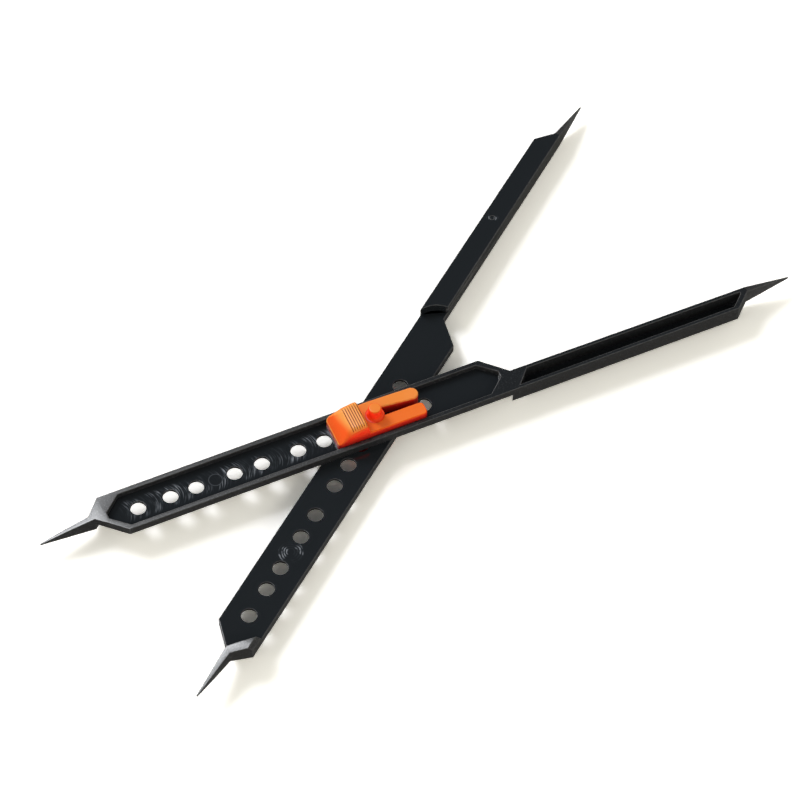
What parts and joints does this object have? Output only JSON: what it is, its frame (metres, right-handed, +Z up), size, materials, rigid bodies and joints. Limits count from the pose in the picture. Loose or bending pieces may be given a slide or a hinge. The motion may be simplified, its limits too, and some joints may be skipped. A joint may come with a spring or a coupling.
{
  "type": "proportional divider",
  "caption": "Proportional divider: two black moulded arms with pointed ends, crossed on a pin in a row of ratio holes, with an orange ribbed slide in the upper channel.",
  "frame": {"origin": "on the surface that the divider lies on, under the middle of its bounding box", "axes": "+X along the bisector of the arms toward the narrow tips, +Z up, away from the surface"},
  "size_m": [0.24, 0.095, 0.0121],
  "materials": {
    "black_abs": "satin, finely grained on the rims",
    "orange_plastic": "semi-gloss"
  },
  "bodies": {
    "lower": {"lower_arm": "black_abs", "lower_slide": "orange_plastic"},
    "upper": {"upper_arm": "black_abs", "upper_slide": "orange_plastic"},
    "pin": {"pivot_pin": "orange_plastic"}
  },
  "joints": [
    {"name": "arm_hinge", "type": "hinge", "parent": "lower", "child": "upper", "pos_m": [-0.0156, 0, 0.00305], "axis": [0, 0, 1], "range_deg": [-112.2, 37.8]},
    {"name": "pin_lift", "type": "slide", "parent": "upper", "child": "pin", "axis": [0, 0, 1], "range_m": [0, 0.004]}
  ]
}
